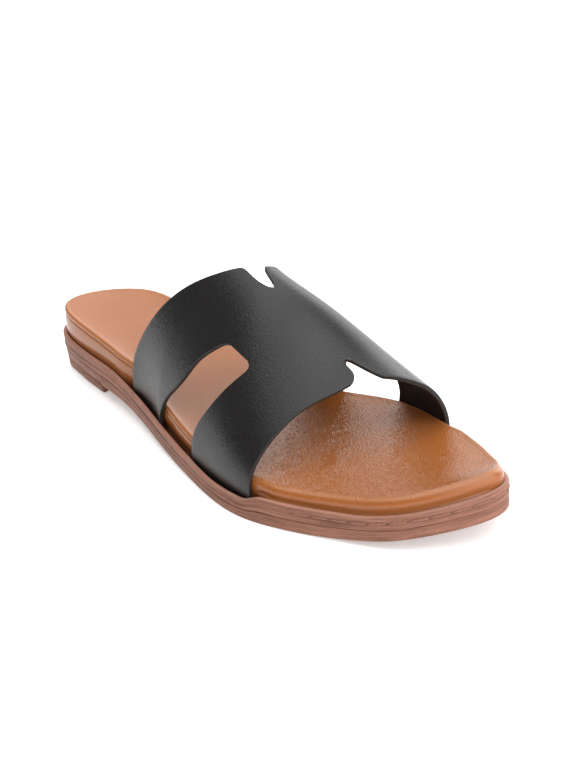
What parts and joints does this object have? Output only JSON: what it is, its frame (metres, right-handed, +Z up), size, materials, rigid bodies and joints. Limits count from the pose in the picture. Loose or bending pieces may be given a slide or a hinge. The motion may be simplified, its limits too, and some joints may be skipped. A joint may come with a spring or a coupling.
{
  "type": "slide sandal",
  "caption": "Slide sandal with a wide one-piece leather band, slotted sides, padded footbed and a low-heeled rubber sole; right shoe.",
  "frame": {"origin": "under the middle of the sole's plan, on the plane that heel and forefoot stand on", "axes": "+Y to the toe, +X to the wearer's right, which is this shoe's outer side, +Z up"},
  "size_m": [0.0932, 0.255, 0.0795],
  "materials": {
    "sole_rubber": "moulded reddish brown rubber with fine striations",
    "footbed_wrap": "smooth tan leatherette",
    "insole_leatherette": "semi-gloss tan leatherette with a wrinkled grain",
    "upper_leather": "satin black leather with a fine grain"
  },
  "bodies": {
    "root": {"outsole": "sole_rubber", "midsole": "footbed_wrap", "insole": "insole_leatherette", "upper": "upper_leather"}
  },
  "joints": []
}
